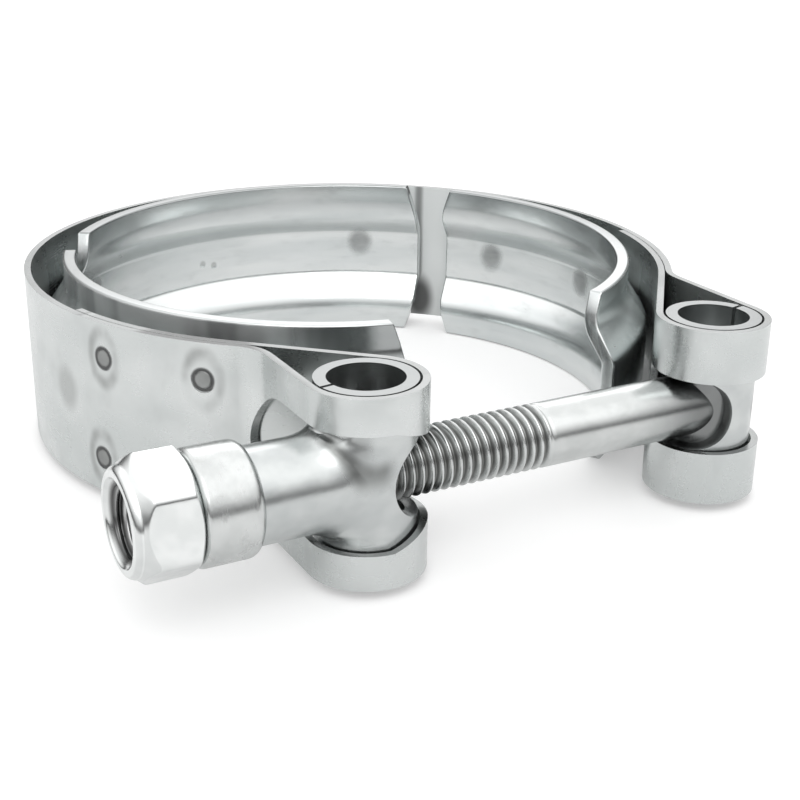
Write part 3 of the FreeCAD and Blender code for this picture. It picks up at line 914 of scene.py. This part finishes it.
def make_floor():
    """Pale floor just under the clamp, its glow weaker in reflections than to the camera."""
    size, drop = 4.0, 0.0001
    seen_glow, mirrored_glow = 0.36, 0.23
    level = -HALF_HEIGHT * MM - drop
    mesh = bpy.data.meshes.new("floor")
    corners = [(-size, -size), (size, -size), (size, size), (-size, size)]
    mesh.from_pydata([(*corner, level) for corner in corners], [], [(0, 1, 2, 3)])
    floor = add_object("floor", mesh)
    paper = Finish("pale_floor", Base_Color=(0.7, 0.7, 0.7, 1.0), Roughness=0.9,
                   Specular_IOR_Level=0.1, Emission_Strength=1.0)
    seen = paper.add("ShaderNodeLightPath", {}, {}, "Is Camera Ray")
    mirrored = paper.add("ShaderNodeLightPath", {}, {}, "Is Glossy Ray")
    glow = paper.layers(BLACK, (seen, (seen_glow,) * 3), (mirrored, (mirrored_glow,) * 3))
    paper.join(glow, paper.inputs["Emission Color"])
    mesh.materials.append(paper.material)


def make_reflector():
    """Studio dome that only reflections see, dark at the horizon and pale above.

    A point is distance * (cos e cos a, cos e sin a, sin e) for an angle a and an elevation e; its
    glow follows the height over the distance.
    """
    distance = 3.5 / MM
    angle = full_turn(64)
    elevation = np.radians(np.linspace(0.0, 88.0, 34))[:, None]
    points = grid(
        distance * np.cos(elevation) * np.cos(angle),
        distance * np.cos(elevation) * np.sin(angle),
        distance * np.sin(elevation))
    dome = surface("reflector", points, caps=(-1,))
    glow = Finish("reflector_glow", Base_Color=(*BLACK, 1.0), Roughness=1.0,
                  Specular_IOR_Level=0.0, Emission_Strength=1.5)
    levels = [(0.0, 0.015), (0.09, 0.045), (0.17, 0.17), (0.27, 0.46), (0.40, 0.70), (0.60, 1.0)]
    stops = [(height, (level,) * 3) for height, level in levels]
    shade = glow.add("ShaderNodeValToRGB", {"stops": stops}, {0: glow.part("Z") / distance})
    glow.join(shade, glow.inputs["Emission Color"])
    dome.data.materials.append(glow.material)
    dome.visible_camera = False
    dome.visible_diffuse = False
    dome.visible_shadow = False


def make_world():
    """Even white light all round."""
    world = bpy.data.worlds.new("studio")
    bpy.context.scene.world = world
    world.use_nodes = True
    sky = world.node_tree.nodes["Background"]
    sky.inputs["Color"].default_value = (1.0, 1.0, 1.0, 1.0)
    sky.inputs["Strength"].default_value = 1.0


def aim(thing, right, up, forward, place):
    """Puts a lamp or camera at a place, turned so that it looks forward."""
    columns = (right, up, -forward, place)
    rows = [tuple(column[i] for column in columns) for i in range(3)]
    thing.matrix_world = Matrix([*rows, (0, 0, 0, 1)])


def make_lamp(name, place, target, size, power):
    """Square soft lamp that looks at a target."""
    data = bpy.data.lights.new(name, "AREA")
    data.shape = "SQUARE"
    data.size = size
    data.energy = power
    forward = np.array(target, float) - np.array(place, float)
    forward /= np.linalg.norm(forward)
    right = np.cross(forward, (0, 0, 1))
    right /= np.linalg.norm(right)
    aim(add_object(name, data), right, np.cross(right, forward), forward, place)


def make_camera():
    """Camera that repeats the photograph's view."""
    yaw, pitch, roll = 0.5031, 0.3768, 0.0142
    place = (-0.0865492, -0.1737745, 0.0652452)
    focal_pixels, photo_pixels, sensor = 1374.818, 800, 36.0
    forward = np.array([
        math.sin(yaw) * math.cos(pitch),
        math.cos(yaw) * math.cos(pitch),
        -math.sin(pitch),
    ])
    level = np.array([math.cos(yaw), -math.sin(yaw), 0.0])
    upright = np.cross(level, forward)
    right = math.cos(roll) * level + math.sin(roll) * upright
    up = math.cos(roll) * upright - math.sin(roll) * level
    data = bpy.data.cameras.new("camera")
    data.sensor_width = sensor
    data.lens = focal_pixels / photo_pixels * sensor
    data.clip_start = 0.01
    camera = add_object("camera", data)
    aim(camera, right, up, forward, place)
    bpy.context.scene.camera = camera


make_floor()
make_reflector()
make_world()
make_lamp("key", (-0.25, -0.45, 0.62), (0, -0.01, 0), 0.50, 1.35)
make_lamp("back", (0.53, 0.96, 0.49), (0, 0, 0), 0.80, 1.9)
make_camera()
bpy.context.scene.view_settings.view_transform = "Standard"
